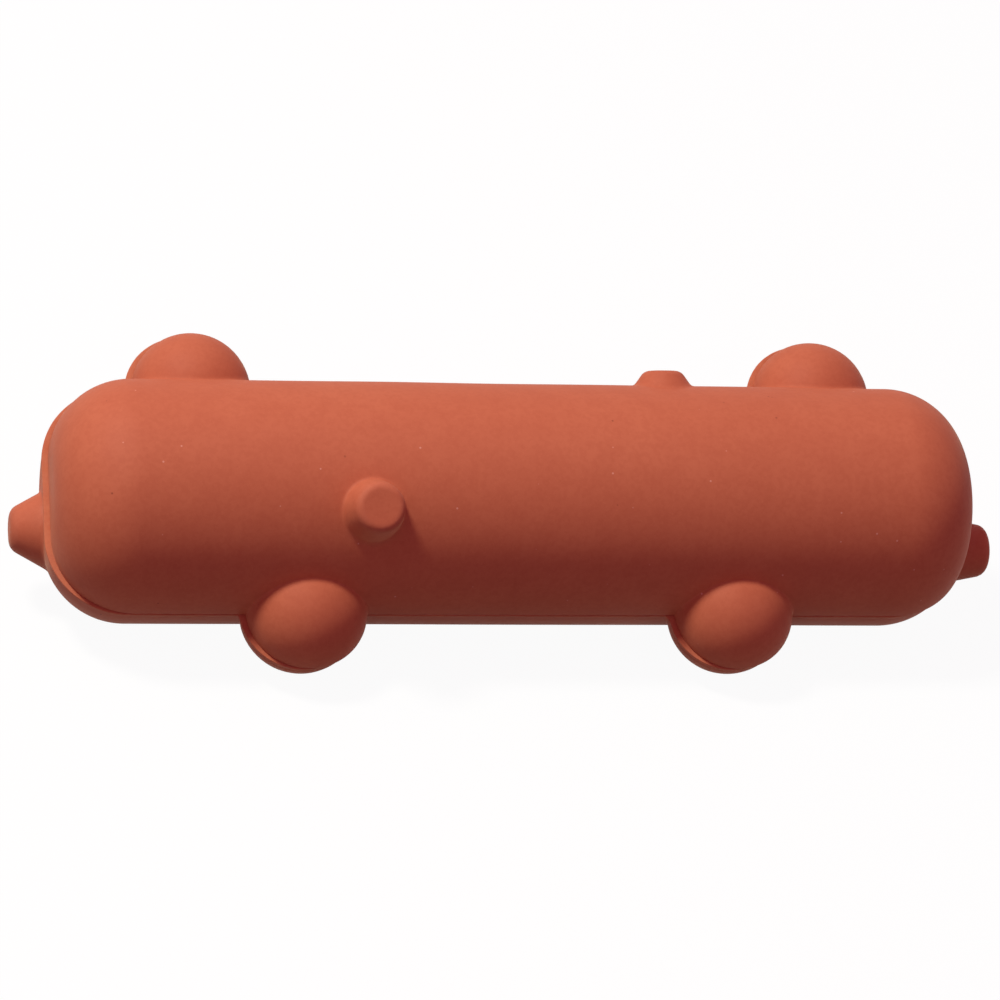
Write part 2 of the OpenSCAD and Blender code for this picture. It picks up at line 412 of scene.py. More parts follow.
@dataclass
class ToyShape:
    """Signed distance of the toy's outside, and its hollow's.

    Attributes:
        bar: Sizes of the bar and domes.
        studs: Sizes of the studs.
        seam: Sizes of the seam.
        swell: Unevenness of the outside.
    """

    bar: BarSizes = BarSizes()
    studs: StudSizes = StudSizes()
    seam: SeamSizes = SeamSizes()
    swell: Swell = Swell()

    def __post_init__(self) -> None:
        """Makes the distance of each feature."""
        bar, studs = self.bar, self.studs
        self.body = rounded_bar(bar.radius, bar.length / 2, bar.corner)
        self.hollow = rounded_bar(
            bar.radius - bar.wall, bar.length / 2 - bar.end_wall, bar.corner - bar.wall
        )
        self.domes = [
            ball((side * along, 0, up * bar.dome_offset), bar.dome_radius)
            for up, along in ((-1, bar.lower_dome_x), (1, bar.upper_dome_x))
            for side in (-1, 1)
        ]
        tilt = turn_y(studs.front_yaw) @ turn_x(studs.front_lean)
        self.side_studs = {
            Half.UPPER: [
                self.bar_stud(studs.front_angle, -studs.along, studs.side, tilt),
                self.bar_stud(studs.low_angle, studs.low_along, studs.low),
            ],
            Half.LOWER: [self.bar_stud(self.rear_angle, studs.along, studs.side)],
        }
        self.end_studs = [
            stud(
                np.array([end * bar.length / 2, form.base_radius + self.seam.thickness / 2, -drop]),
                np.array([end, 0.0, 0.0]),
                form,
                studs.root,
            )
            for end, form, drop in zip((-1, 1), studs.ends, studs.end_drops)
        ]

    @property
    def rear_angle(self) -> float:
        """Angle of the rear stud round the bar, at which its tip touches the table.

        Returns:
            The angle from the middle of the upper half.
        """
        form, radius = self.studs.side, self.bar.radius
        reach = radius + form.height - form.edge
        below = math.asin((radius - form.edge) / math.hypot(reach, form.tip_radius))
        return math.pi + below - math.atan2(form.tip_radius, reach) - self.bar.lay_angle

    def bar_stud(
        self, angle: float, along: float, form: StudForm, tilt: np.ndarray | None = None
    ) -> Sdf:
        """Distance to a stud that stands on the bar's side.

        Args:
            angle: Angle round the bar, from the middle of the upper half.
            along: Distance from the middle of the bar.
            form: Form of the stud.
            tilt: Turn of the stud on its base, or None.

        Returns:
            The distance function.
        """
        turn = turn_x(math.pi / 2 - angle)
        up = np.array([0.0, 0.0, 1.0])
        base = np.array([along, 0, 0]) + turn @ (up * self.bar.radius)
        axis = turn @ (up if tilt is None else tilt @ up)
        return stud(base, axis, form, self.studs.root)

    def slip(self, half: Half | None) -> np.ndarray:
        """How far a half's bar and domes are slipped along the bar, towards -X where positive."""
        return np.array([half.value * self.seam.mismatch if half else 0.0, 0.0, 0.0])

    def outside(self, half: Half | None) -> Sdf:
        """Distance of the toy's outside.

        Args:
            half: The half whose studs and slip are taken, or None for the bare bar between both.

        Returns:
            The distance function, with fillets.
        """
        slip = self.slip(half)
        side_studs = self.side_studs.get(half, [])
        end_studs = self.end_studs if half is Half.LOWER else []

        def distance(p: np.ndarray) -> np.ndarray:
            """Distance from the outside.

            Args:
                p: Array of n points.

            Returns:
                The n distances.
            """
            slipped = p + slip
            found = self.body(slipped)
            for dome in self.domes:
                found = fillet_union(found, dome(slipped), self.bar.dome_fillet)
            for end_stud in end_studs:
                found = fillet_union(found, end_stud(slipped), self.studs.fillet)
            for side_stud in side_studs:
                found = fillet_union(found, side_stud(p), self.studs.fillet)
            return found - self.swell.at(p)

        return distance


# Rays from the bar's axis, which find each skin


def graded(
    start: float, stop: float, gap: float, windows: Iterable[tuple[float, float, float]]
) -> np.ndarray:
    """Places from start to stop, closer together inside the windows.

    Args:
        start: First place.
        stop: Last place.
        gap: Distance between places outside the windows.
        windows: Middle, half width and gap of each closer stretch.

    Returns:
        The places, in order.
    """
    samples = np.linspace(start, stop, GRADING_SAMPLES)
    gaps = np.full(samples.shape, gap)
    for middle, half_width, fine in windows:
        past = np.clip((np.abs(samples - middle) - half_width) / half_width, 0, 1)
        gaps = np.minimum(gaps, fine + (gap - fine) * past)
    density = 1 / gaps
    steps = (density[1:] + density[:-1]) / 2 * np.diff(samples)
    total = np.concatenate([[0], np.cumsum(steps)])
    count = math.ceil(total[-1])
    return np.interp(np.linspace(0, total[-1], count + 1), total, samples)


@dataclass(frozen=True)
class Ring:
    """Ring in which the points of a grid are drawn together, where a feature's edge is.

    All but the strength are shares of the feature's radius.

    Attributes:
        inner: Radius from which the points lie closest.
        outer: Radius up to which they do.
        reach: Radius beyond which no point moves.
        strength: How much closer they lie, as a share of their usual density.
        soft: Width over which the density changes.
    """

    inner: float
    outer: float
    reach: float
    strength: float
    soft: float

    def gather(self, places: np.ndarray, middle: tuple[float, float], size: float) -> np.ndarray:
        """Moves points towards the ring, away from or nearer to its middle.

        Args:
            places: Points of the grid, with two coordinates in the last axis.
            middle: Middle of the feature.
            size: Radius of the feature.

        Returns:
            The moved points.
        """
        reach, soft = self.reach * size, self.soft * size
        radii = np.linspace(0, reach, GATHER_SAMPLES)
        steps = [self.inner * size - soft, self.inner * size, self.outer * size, self.outer * size + soft]
        density = 1 + self.strength * np.interp(radii, steps, [0, 1, 1, 0])
        total = np.concatenate([[0], np.cumsum(density[1:] + density[:-1])])
        away = places - np.array(middle)
        radius = np.linalg.norm(away, axis=-1)
        moved = np.interp(radius, total / total[-1] * reach, radii)
        scale = np.where(radius < reach, moved / np.maximum(radius, TINY), 1)
        return np.array(middle) + away * scale[..., None]


@dataclass
class RayFan:
    """Rays that leave the bar's axis square to it, and fan out round both ends.

    Attributes:
        bar: Sizes of the bar.
        offset: Distance of the rays' start from the middle of the seam, along Y.
        halvings: How often a ray is halved to find a skin.
    """

    bar: BarSizes
    offset: float = 0.0
    halvings: int = 26

    @property
    def straight(self) -> float:
        """Distance from the bar's middle to where the fans start."""
        return self.bar.length / 2 - self.bar.radius

    @property
    def reach(self) -> float:
        """Length of the way from the middle of the bar to the middle of an end."""
        return self.straight + self.bar.radius * math.pi / 2

    def rays(self, along: np.ndarray, around: np.ndarray, side: int) -> tuple[np.ndarray, np.ndarray]:
        """Starts and directions of a grid of rays.

        Args:
            along: Places along the bar, past `straight` as arc length round an end. A column
                or a whole grid.
            around: Angles round the bar, from the upper domes' side. A row or a whole grid.
            side: The half that the rays go to.

        Returns:
            The starts and the unit directions, one row of the grid after another.
        """
        along, around = np.broadcast_arrays(along, around)
        fan = np.sign(along) * np.maximum(np.abs(along) - self.straight, 0) / self.bar.radius
        out = np.cos(fan)
        directions = np.stack(
            [np.sin(fan), side * out * np.sin(around), out * np.cos(around)], axis=-1
        )
        starts = np.zeros_like(directions)
        starts[..., 0] = np.clip(along, -self.straight, self.straight)
        starts[..., 1] = self.offset
        return starts.reshape(-1, 3), directions.reshape(-1, 3)

    def hit(self, shape: Sdf, starts: np.ndarray, directions: np.ndarray) -> np.ndarray:
        """Distance along each ray to the shape's skin, by halving.

        Args:
            shape: Distance of the shape. Every ray starts inside it and leaves it once.
            starts: Starts of the rays.
            directions: Unit directions of the rays.

        Returns:
            The distances.
        """
        near = np.zeros(len(starts))
        far = np.full(len(starts), 2 * self.bar.radius)
        for _ in range(self.halvings):
            middle = (near + far) / 2
            inside = shape(starts + directions * middle[:, None]) < 0
            near = np.where(inside, middle, near)
            far = np.where(inside, far, middle)
        return (near + far) / 2


# Meshes


def strip_faces(rows: int, columns: int, first: int = 0) -> np.ndarray:
    """Quads of a grid of vertices that are numbered row by row.

    Args:
        rows: Number of rows.
        columns: Number of vertices in a row.
        first: Number of the first vertex.

    Returns:
        Array of four vertices for each quad.
    """
    i, j = np.meshgrid(np.arange(rows - 1), np.arange(columns - 1), indexing="ij")
    corner = (i * columns + j).reshape(-1, 1) + first
    return corner + np.array([0, 1, columns + 1, columns])


def looped_faces(rows: int, columns: int) -> np.ndarray:
    """Quads of a grid whose rows and columns both close on themselves.

    Args:
        rows: Number of rows.
        columns: Number of vertices in a row.

    Returns:
        Array of four vertices for each quad.
    """
    i, j = np.meshgrid(np.arange(rows), np.arange(columns), indexing="ij")
    i, j = i.reshape(-1), j.reshape(-1)
    next_i, next_j = (i + 1) % rows, (j + 1) % columns
    return np.stack(
        [i * columns + j, i * columns + next_j, next_i * columns + next_j, next_i * columns + j], axis=1
    )


def linked(name: str, data: Any) -> bpy.types.Object:
    """Makes an object of a mesh, lamp or camera, and links it to the scene.

    Args:
        name: Name of the object.
        data: What the object shows.

    Returns:
        The object.
    """
    made = bpy.data.objects.new(name, data)
    bpy.context.scene.collection.objects.link(made)
    return made


def make_object(name: str, vertices: np.ndarray, faces: np.ndarray, sharp: float) -> bpy.types.Object:
    """Makes a closed mesh object with outward normals.

    Args:
        name: Name of the object.
        vertices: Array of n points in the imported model's frame.
        faces: Array of m quads.
        sharp: Angle from which an edge is shaded sharp.

    Returns:
        The object, linked to the scene.
    """
    mesh = bpy.data.meshes.new(name)
    mesh.from_pydata(vertices.tolist(), [], faces.tolist())
    tidy_mesh(mesh, sharp)
    return linked(name, mesh)


def tidy_mesh(mesh: bpy.types.Mesh, sharp: float) -> None:
    """Closes a mesh's poles, turns its faces outwards and shades it smooth but for its edges.

    Args:
        mesh: The mesh.
        sharp: Angle from which an edge is shaded sharp.
    """
    work = bmesh.new()
    work.from_mesh(mesh)
    bmesh.ops.remove_doubles(work, verts=work.verts, dist=MERGE_GAP)
    bmesh.ops.recalc_face_normals(work, faces=work.faces)
    work.to_mesh(mesh)
    work.free()
    mesh.shade_smooth()
    mesh.set_sharp_from_angle(angle=sharp)
    mesh.update()


def applied(piece: bpy.types.Object) -> bpy.types.Object:
    """Makes an object's modifiers part of its mesh.

    Args:
        piece: Object with modifiers.

    Returns:
        The same object, with the result as its mesh and no modifiers.
    """
    depsgraph = bpy.context.evaluated_depsgraph_get()
    result = bpy.data.meshes.new_from_object(piece.evaluated_get(depsgraph))
    piece.modifiers.clear()
    piece.data = result
    return piece


def combine(piece: bpy.types.Object, tool: bpy.types.Object, operation: str) -> None:
    """Joins a tool's solid to a piece, or cuts it out, and removes the tool.

    Args:
        piece: Object that is changed.
        tool: Object that is joined or cut out.
        operation: UNION or DIFFERENCE.
    """
    step = piece.modifiers.new("combine", "BOOLEAN")
    step.operation = operation
    step.solver = "EXACT"
    step.object = tool
    applied(piece)
    bpy.data.objects.remove(tool)


def vertex_array(mesh: bpy.types.Mesh) -> np.ndarray:
    """The mesh's vertices.

    Args:
        mesh: The mesh.

    Returns:
        Array of n points.
    """
    flat = np.zeros(len(mesh.vertices) * 3, np.float32)
    mesh.vertices.foreach_get("co", flat)
    return flat.reshape(-1, 3).astype(float)


def place_vertices(mesh: bpy.types.Mesh, points: np.ndarray) -> None:
    """Moves each vertex of a mesh to its own point."""
    mesh.vertices.foreach_set("co", points.astype(np.float32).ravel())
    mesh.update()


def write_attribute(mesh: bpy.types.Mesh, name: str, values: np.ndarray) -> None:
    """Stores one number for each vertex under a name that materials read."""
    attribute = mesh.attributes.new(name, "FLOAT", "POINT")
    attribute.data.foreach_set("value", values.astype(np.float32))


def arc(centre: tuple[float, float], radius: float, start: float, stop: float, count: int = 5) -> list:
    """Points of an arc, with its angles in degrees."""
    angles = np.radians(np.linspace(start, stop, count))
    return [(centre[0] + radius * math.cos(a), centre[1] + radius * math.sin(a)) for a in angles]


def lathe(name: str, profile: Sequence[tuple[float, float]], count: int, sharp: float) -> bpy.types.Object:
    """Turns a closed profile round Z and sets it on the squeaker's axis.

    Args:
        name: Name of the object.
        profile: Radius and height of each point, all off the axis.
        count: Number of sides.
        sharp: Angle from which an edge is shaded sharp.

    Returns:
        The turned piece.
    """
    angles = np.linspace(0, 2 * math.pi, count, endpoint=False)
    outline = np.array(profile)
    points = np.stack(
        [
            np.outer(np.cos(angles), outline[:, 0]),
            np.outer(np.sin(angles), outline[:, 0]),
            np.tile(outline[:, 1], (count, 1)),
        ],
        axis=-1,
    ).reshape(-1, 3)
    faces = looped_faces(count, len(outline))
    return make_object(name, Mould().squeaker_place(points), faces, sharp)


def plug(name: str, radius: float, low: float, high: float, count: int = 96) -> bpy.types.Object:
    """A solid round bar on the squeaker's axis, used as a tool that cuts or joins.

    Args:
        name: Name of the object.
        radius: Radius of the bar.
        low: Place of its lower end along the axis.
        high: Place of its upper end.
        count: Number of sides.

    Returns:
        The bar.
    """
    work = bmesh.new()
    place = Matrix.Translation((0, 0, (low + high) / 2))
    bmesh.ops.create_cone(
        work, cap_ends=True, segments=count, radius1=radius, radius2=radius, depth=high - low, matrix=place
    )
    mesh = bpy.data.meshes.new(name)
    work.to_mesh(mesh)
    work.free()
    place_vertices(mesh, Mould().squeaker_place(vertex_array(mesh)))
    return linked(name, mesh)


# Node trees


class Wire:
    """An output socket of a node tree, which takes part in arithmetic."""

    def __init__(self, nodes: "Nodes", socket: bpy.types.NodeSocket) -> None:
        """Keeps the socket and the tree that it belongs to."""
        self.nodes = nodes
        self.socket = socket

    def _math(self, operation: str, first: Any, second: Any) -> "Wire":
        """Adds a Math node on two values."""
        return self.nodes.wire("ShaderNodeMath", {"operation": operation}, {0: first, 1: second})

    def __add__(self, other: Any) -> "Wire":
        """Sum."""
        return self._math("ADD", self, other)

    def __sub__(self, other: Any) -> "Wire":
        """Difference."""
        return self._math("SUBTRACT", self, other)

    def __rsub__(self, other: Any) -> "Wire":
        """Difference from a number."""
        return self._math("SUBTRACT", other, self)

    def __mul__(self, other: Any) -> "Wire":
        """Product."""
        return self._math("MULTIPLY", self, other)

    def __rtruediv__(self, other: Any) -> "Wire":
        """Share of a number."""
        return self._math("DIVIDE", other, self)

    def over(self, low: float, high: float) -> "Wire":
        """Share of the way from low to high, held between 0 and 1."""
        sockets = {"Value": self, "From Min": low, "From Max": high, "To Min": 0.0, "To Max": 1.0}
        return self.nodes.wire("ShaderNodeMapRange", {"interpolation_type": "SMOOTHSTEP"}, sockets, "Result")


class Nodes:
    """A node tree of any kind, and the one way in which nodes are added to it."""

    def __init__(self, tree: bpy.types.NodeTree) -> None:
        """Keeps the tree and empties it."""
        self.tree = tree
        tree.nodes.clear()

    def node(
        self, kind: str, settings: dict[str, Any] | None = None, values: dict[str | int, Any] | None = None
    ) -> bpy.types.Node:
        """Adds a node of any kind.

        Args:
            kind: Type name of the node.
            settings: The node's own settings, set before its sockets.
            values: Numbers, colours or wires for its sockets, by name or place.

        Returns:
            The node.
        """
        made = self.tree.nodes.new(kind)
        for name, value in (settings or {}).items():
            setattr(made, name, value)
        for key, value in (values or {}).items():
            if isinstance(value, Wire):
                self.tree.links.new(value.socket, made.inputs[key])
            else:
                made.inputs[key].default_value = value
        return made

    def wire(
        self,
        kind: str,
        settings: dict[str, Any] | None = None,
        values: dict[str | int, Any] | None = None,
        output: str | int = 0,
    ) -> Wire:
        """Adds a node of any kind, as `node` does, and gives its first output or another."""
        return Wire(self, self.node(kind, settings, values).outputs[output])


class ShapeTree(Nodes):
    """A Geometry Nodes tree with named inputs."""

    def __init__(self, name: str, sizes: dict[str, float]) -> None:
        """Makes a tree that takes a mesh and the named sizes, and gives a mesh.

        Args:
            name: Name of the tree.
            sizes: Name and value of each input.
        """
        super().__init__(bpy.data.node_groups.new(name, "GeometryNodeTree"))
        add = self.tree.interface.new_socket
        for way in ("INPUT", "OUTPUT"):
            add("Geometry", in_out=way, socket_type="NodeSocketGeometry")
        self.sizes: dict[str, float] = {}
        for size, value in sizes.items():
            socket = add(size, in_out="INPUT", socket_type="NodeSocketFloat")
            socket.default_value = value
            self.sizes[socket.identifier] = value
        self.start = self.node("NodeGroupInput")

    def given(self, name: str) -> Wire:
        """The tree's input of that name."""
        return Wire(self, self.start.outputs[name])

    def close(self, geometry: Wire, material: bpy.types.Material) -> None:
        """Ends the tree with Realize Instances and Set Material.

        Args:
            geometry: The finished shape.
            material: Its finish.
        """
        real = self.wire("GeometryNodeRealizeInstances", None, {"Geometry": geometry})
        dressed = self.wire("GeometryNodeSetMaterial", None, {"Geometry": real, "Material": material})
        self.node("NodeGroupOutput", None, {0: dressed})

    def run(self, piece: bpy.types.Object) -> None:
        """Runs the tree on an object and keeps the result as its mesh.

        Args:
            piece: Object whose mesh the tree takes.
        """
        step = piece.modifiers.new(self.tree.name, "NODES")
        step.node_group = self.tree
        for identifier, value in self.sizes.items():
            step[identifier] = value
        applied(piece)


class Paint(Nodes):
    """A material's node tree."""

    def __init__(self, name: str) -> None:
        """Makes an empty material.

        Args:
            name: Name of the material.
        """
        self.material = bpy.data.materials.new(name)
        self.material.use_nodes = True
        super().__init__(self.material.node_tree)

    def place(self) -> Wire:
        """The point on the piece, in its own coordinates."""
        return self.wire("ShaderNodeTexCoord", output="Object")

    def attribute(self, name: str) -> Wire:
        """A number stored on the mesh."""
        return self.wire("ShaderNodeAttribute", {"attribute_name": name}, output="Fac")

    def spots(self, pitch: float) -> tuple[Wire, Wire]:
        """Many scattered points.

        Args:
            pitch: Their usual distance from each other.

        Returns:
            Distance to the nearest point, in pitches, and that point's own random number.
        """
        cell = self.node("ShaderNodeTexVoronoi", None, {"Vector": self.place(), "Scale": 1 / pitch})
        lot = self.wire("ShaderNodeSeparateColor", None, {"Color": Wire(self, cell.outputs["Color"])}, "Red")
        return Wire(self, cell.outputs["Distance"]), lot

    def mix(self, share: Any, first: Any, second: Any) -> Wire:
        """Mixes two colours."""
        return self.wire("ShaderNodeMix", {"data_type": "RGBA"}, {0: share, 6: first, 7: second}, 2)

    def bump(self, height: Wire, depth: float) -> Wire:
        """Surface normal of a height between 0 and 1 that stands for a depth in metres."""
        values = {"Height": height, "Distance": depth, "Strength": 1.0}
        return self.wire("ShaderNodeBump", None, values, "Normal")

    def surface(self, shader: Wire) -> bpy.types.Material:
        """Makes a shader the material's surface."""
        self.node("ShaderNodeOutputMaterial", None, {"Surface": shader})
        return self.material


# Finishes


def linear(colour: Colour) -> tuple[float, float, float, float]:
    """A colour as the shader's linear values.

    Args:
        colour: Red, green and blue, written as 0 to 255.

    Returns:
        The three linear values, and full cover.
    """
    shares = [c / 255 for c in colour]
    low = [s / 12.92 if s <= 0.04045 else ((s + 0.055) / 1.055) ** 2.4 for s in shares]
    return (low[0], low[1], low[2], 1.0)


@dataclass(frozen=True)
class Patches:
    """Soft noise that shows as patches of a colour.

    Attributes:
        size: Size of the patches.
        detail: How many finer layers the noise has.
        seed: Where the noise is taken, so that no two kinds of patches match.
        low: Value of the noise up to which no patch shows.
        high: Value from which a patch shows fully.
        share: How far its colour covers what lies below.
        relief: How high it stands, as a share of the finish's depth.
    """

    size: float
    detail: float
    seed: float
    low: float
    high: float
    share: float
    relief: float = 0.0

    def noise(self, paint: Paint) -> Wire:
        """The noise, whose spots are about as large as the size."""
        values = {"Vector": paint.place(), "W": self.seed, "Scale": 1 / self.size, "Detail": self.detail}
        return paint.wire("ShaderNodeTexNoise", {"noise_dimensions": "4D"}, values, "Fac")

    def shown(self, noise: Wire) -> Wire:
        """Where the patches of that noise show, between 0 and 1."""
        return noise.over(self.low, self.high)


@dataclass(frozen=True)
class Dots:
    """Small dots at some of many scattered points.

    Attributes:
        pitch: Usual distance between the points.
        edge: Radii, in pitches, between which a dot fades out.
        lots: Random numbers between which a point gains its dot, or loses it with low_lots.
        low_lots: Whether the dots are at the points with low numbers.
        share: How far their colour covers what lies below.
        relief: How high they stand, as a share of the finish's depth.
    """

    pitch: float
    edge: tuple[float, float]
    lots: tuple[float, float]
    low_lots: bool
    share: float
    relief: float

    def shown(self, paint: Paint) -> Wire:
        """Where the dots show, between 0 and 1.

        Args:
            paint: The material.

        Returns:
            1 in a dot and 0 outside.
        """
        near, number = paint.spots(self.pitch)
        chosen = number.over(*self.lots)
        return (1 - near.over(*self.edge)) * (1 - chosen if self.low_lots else chosen)


@dataclass(frozen=True)
class RubberFinish:
    """Matt moulded rubber, lighter on edges and seam (a pale film and a painted highlight), with a few pale
    specks and dark pits.

    Attributes:
        name: Name of the material.
        body: Main colour.
        deep: Colour of the blotches and the mottle.
        light: Colour of the clouds and the grain.
        film_and_highlight: Colour of the lighter edges, partly a pale film and partly a painted highlight.
        speck: Colour of the specks.
        pit: Colour of the pits.
        sheen_tint: Colour of the sheen.
        clouds: The largest patches.
        blotches: Middling patches.
        mottle: Small patches, which stand in relief too.
        grain: The finest patches, which stand in relief and change the roughness too.
        film_and_highlight_spread: Patches in which the pale film and the painted edge highlight show.
        specks: Scattered pale specks.
        pits: Scattered dark pits.
        relief_depth: Depth of the relief.
        roughness: Roughness of plain rubber.
        film_and_highlight_roughness: How much the pale film and the painted highlight add to it.
        grain_roughness: How much the grain changes it.
        specular: Strength of the gloss.
        sheen: Strength of the sheen.
        sheen_roughness: Roughness of the sheen.
    """

    name: str
    body: Colour = (192, 108, 77)
    deep: Colour = (182, 97, 68)
    light: Colour = (199, 116, 83)
    film_and_highlight: Colour = (197, 137, 119)
    speck: Colour = (222, 166, 146)
    pit: Colour = (116, 54, 40)
    sheen_tint: Colour = (255, 244, 206)
    clouds: Patches = Patches(22 * MM, 3.0, 0.0, 0.35, 0.65, 0.4)
    blotches: Patches = Patches(4 * MM, 3.0, 2.0, 0.3, 0.7, 0.35)
    mottle: Patches = Patches(0.9 * MM, 3.0, 7.0, 0.42, 0.62, 0.3, 0.5)
    grain: Patches = Patches(0.35 * MM, 2.0, 5.0, 0.5, 0.7, 0.25, 0.5)
    film_and_highlight_spread: Patches = Patches(1.6 * MM, 4.0, 9.0, 0.25, 0.7, 0.5)
    specks: Dots = Dots(3.2 * MM, (0.03, 0.07), (0.66, 0.7), False, 0.7, 0.4)
    pits: Dots = Dots(4.1 * MM, (0.02, 0.06), (0.2, 0.24), True, 0.6, 0.8)
    relief_depth: float = 0.026 * MM
    roughness: float = 0.66
    film_and_highlight_roughness: float = 0.14
    grain_roughness: float = 0.12
    specular: float = 0.2
    sheen: float = 0.1
    sheen_roughness: float = 0.3

    def make(self) -> bpy.types.Material:
        """Builds the material.

        Returns:
            A material that reads the mesh's film_and_highlight attribute, where it paints a pale film and a
            painted edge highlight.
        """
        paint = Paint(self.name)
        grain, mottle = self.grain.noise(paint), self.mottle.noise(paint)
        layers = (
            (self.clouds, self.clouds.noise(paint), self.light),
            (self.blotches, self.blotches.noise(paint), self.deep),
            (self.mottle, mottle, self.deep),
            (self.grain, grain, self.light),
        )
        colour: Any = linear(self.body)
        for patches, noise, tone in layers:
            colour = paint.mix(patches.shown(noise) * patches.share, colour, linear(tone))
        # Lighter colour on tight outward curves and along the seam: partly a pale film, partly a painted
        # highlight on the edges.
        film_and_highlight = paint.attribute("film_and_highlight") * self.film_and_highlight_spread.shown(self.film_and_highlight_spread.noise(paint))
        speck, pit = self.specks.shown(paint), self.pits.shown(paint)
        colour = paint.mix(film_and_highlight * self.film_and_highlight_spread.share, colour, linear(self.film_and_highlight))
        colour = paint.mix(speck * self.specks.share, colour, linear(self.speck))
        colour = paint.mix(pit * self.pits.share, colour, linear(self.pit))
        roughness = (grain - 0.5) * self.grain_roughness + (film_and_highlight * self.film_and_highlight_roughness + self.roughness)
        patches_relief = mottle * self.mottle.relief + grain * self.grain.relief
        relief = patches_relief - pit * self.pits.relief + speck * self.specks.relief
        shader = paint.wire(
            "ShaderNodeBsdfPrincipled",
            None,
            {
                "Base Color": colour,
                "Roughness": roughness,
                "Normal": paint.bump(relief, self.relief_depth),
                "Specular IOR Level": self.specular,
                "Sheen Weight": self.sheen,
                "Sheen Roughness": self.sheen_roughness,
                "Sheen Tint": linear(self.sheen_tint),
            },
        )
        return paint.surface(shader)


@dataclass(frozen=True)
class PlasticFinish:
    """Plain moulded plastic with faint flow marks and a little dust.

    Attributes:
        name: Name of the material.
        body: Main colour.
        shade: Colour of the marks and the dust.
        marks: Flow marks, which stand in relief too.
        dust: Dust, which changes the roughness too.
        mark_depth: Depth of the marks.
        roughness: Roughness of clean plastic.
        dust_roughness: How much the dust adds to it.
    """

    name: str
    body: Colour = (226, 221, 206)
    shade: Colour = (206, 198, 178)
    marks: Patches = Patches(2.5 * MM, 3.0, 0.0, 0.3, 0.7, 0.5)
    dust: Patches = Patches(0.4 * MM, 2.0, 3.0, 0.55, 0.75, 0.15)
    mark_depth: float = 0.006 * MM
    roughness: float = 0.42
    dust_roughness: float = 0.15

    def make(self) -> bpy.types.Material:
        """Builds the material.

        Returns:
            The material.
        """
        paint = Paint(self.name)
        marks = self.marks.noise(paint)
        dust = self.dust.shown(self.dust.noise(paint))
        shade = linear(self.shade)
        colour = paint.mix(self.marks.shown(marks) * self.marks.share, linear(self.body), shade)
        shader = paint.wire(
            "ShaderNodeBsdfPrincipled",
            None,
            {
                "Base Color": paint.mix(dust * self.dust.share, colour, shade),
                "Roughness": dust * self.dust_roughness + self.roughness,
                "Normal": paint.bump(marks, self.mark_depth),
            },
        )
        return paint.surface(shader)


# The toy's pieces


@dataclass(frozen=True)
class FilmAndHighlight:
    """Where the rubber is painted lighter, as a pale film and a painted edge highlight: on tight outward
    curves and along the seam.

    Attributes:
        probe: Distance over which the skin's curve is measured.
        curve_from: Curve from which the bloom starts, per metre.
        curve_range: How much more curve brings it to its full strength.
        on_curves: Strength on the tightest curves.
        seam_fade: Distance from the seam over which its lighter colour fades.
        on_seam: Strength at the seam.
        at_ends: Strength that the seam gains at the toy's ends.
        ends_from: Distance from the middle of the bar from which it does.
        ends_range: Distance over which it does.
    """

    probe: float = 0.5 * MM
    curve_from: float = 260.0
    curve_range: float = 420.0
    on_curves: float = 0.12
    seam_fade: float = 0.45 * MM
    on_seam: float = 0.2
    at_ends: float = 0.6
    ends_from: float = 60 * MM
    ends_range: float = 10 * MM

    def at(self, points: np.ndarray, distance: Sdf, seam_face: float) -> np.ndarray:
        """How strongly the rubber is painted lighter, as a pale film and a painted edge highlight.

        Args:
            points: Array of n points in the mould's frame.
            distance: Distance of the skin that they lie on.
            seam_face: Distance of the half's flat face from the middle of the seam.

        Returns:
            A number between 0 and 1 for each point.
        """
        offsets = np.concatenate([np.eye(3), -np.eye(3)]) * self.probe
        spread = sum(distance(points + offset) for offset in offsets) - len(offsets) * distance(points)
        curve = spread / self.probe**2
        tight = self.on_curves * np.clip((curve - self.curve_from) / self.curve_range, 0, 1)
        near_seam = np.exp(-(np.abs(points[:, 1]) - seam_face) / self.seam_fade)
        at_end = np.clip((np.abs(points[:, 0]) - self.ends_from) / self.ends_range, 0, 1)
        return np.clip(tight + near_seam * (self.on_seam + self.at_ends * at_end), 0, 1)


